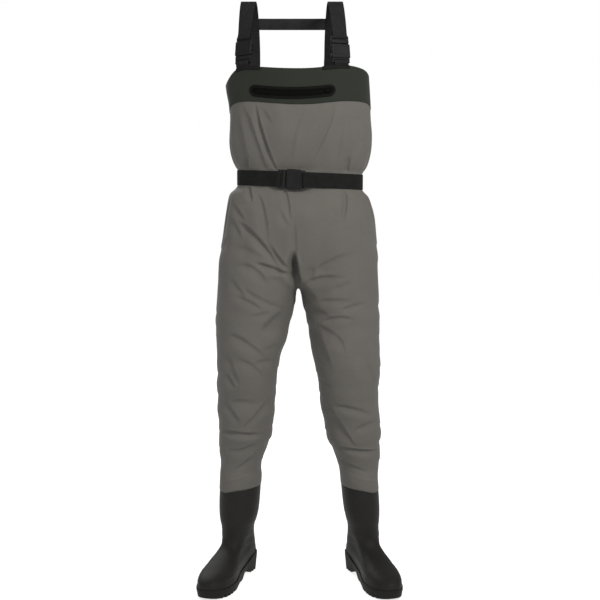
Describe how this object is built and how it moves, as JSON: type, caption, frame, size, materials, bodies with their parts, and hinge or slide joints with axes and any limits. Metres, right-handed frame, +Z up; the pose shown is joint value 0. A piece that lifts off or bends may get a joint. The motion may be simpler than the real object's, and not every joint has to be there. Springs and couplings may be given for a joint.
{
  "type": "chest waders",
  "caption": "Chest waders: hollow cloth bib and legs with a dark yoke, zipped chest pocket, webbing belt and shoulder straps on side-release buckles, over rubber boots.",
  "frame": {"origin": "under the middle of the bounding box, on the floor that the soles stand on", "axes": "+Z up the garment, -Y the way that the wearer faces, +X towards the wearer's left side"},
  "size_m": [0.5442, 0.3466, 1.5636],
  "materials": {
    "shell_cloth": "matte",
    "yoke_cloth": "matte",
    "zip_trim": "satin",
    "webbing": "matte",
    "buckle_plastic": "satin",
    "boot_rubber": "satin",
    "sole_rubber": "matte",
    "insole_felt": "matte"
  },
  "bodies": {
    "root": {"back_crossbar": "webbing", "belt_buckle_plug": "buckle_plastic", "belt_buckle_socket": "buckle_plastic", "boot_upper_left": "boot_rubber", "boot_upper_right": "boot_rubber", "chest_yoke": "yoke_cloth", "cloth_leg_left": "shell_cloth", "cloth_leg_right": "shell_cloth", "cloth_trunk": "shell_cloth", "insole_left": "insole_felt", "insole_right": "insole_felt", "outsole_left": "sole_rubber", "outsole_right": "sole_rubber", "pocket_window_frame": "zip_trim", "pocket_zip": "zip_trim", "pocket_zip_slider": "buckle_plastic", "shoulder_strap_left": "webbing", "shoulder_strap_right": "webbing", "strap_buckle_plug_left": "buckle_plastic", "strap_buckle_plug_right": "buckle_plastic", "strap_buckle_socket_left": "buckle_plastic", "strap_buckle_socket_right": "buckle_plastic", "strap_tab_left": "webbing", "strap_tab_right": "webbing", "wading_belt": "webbing"}
  },
  "joints": []
}
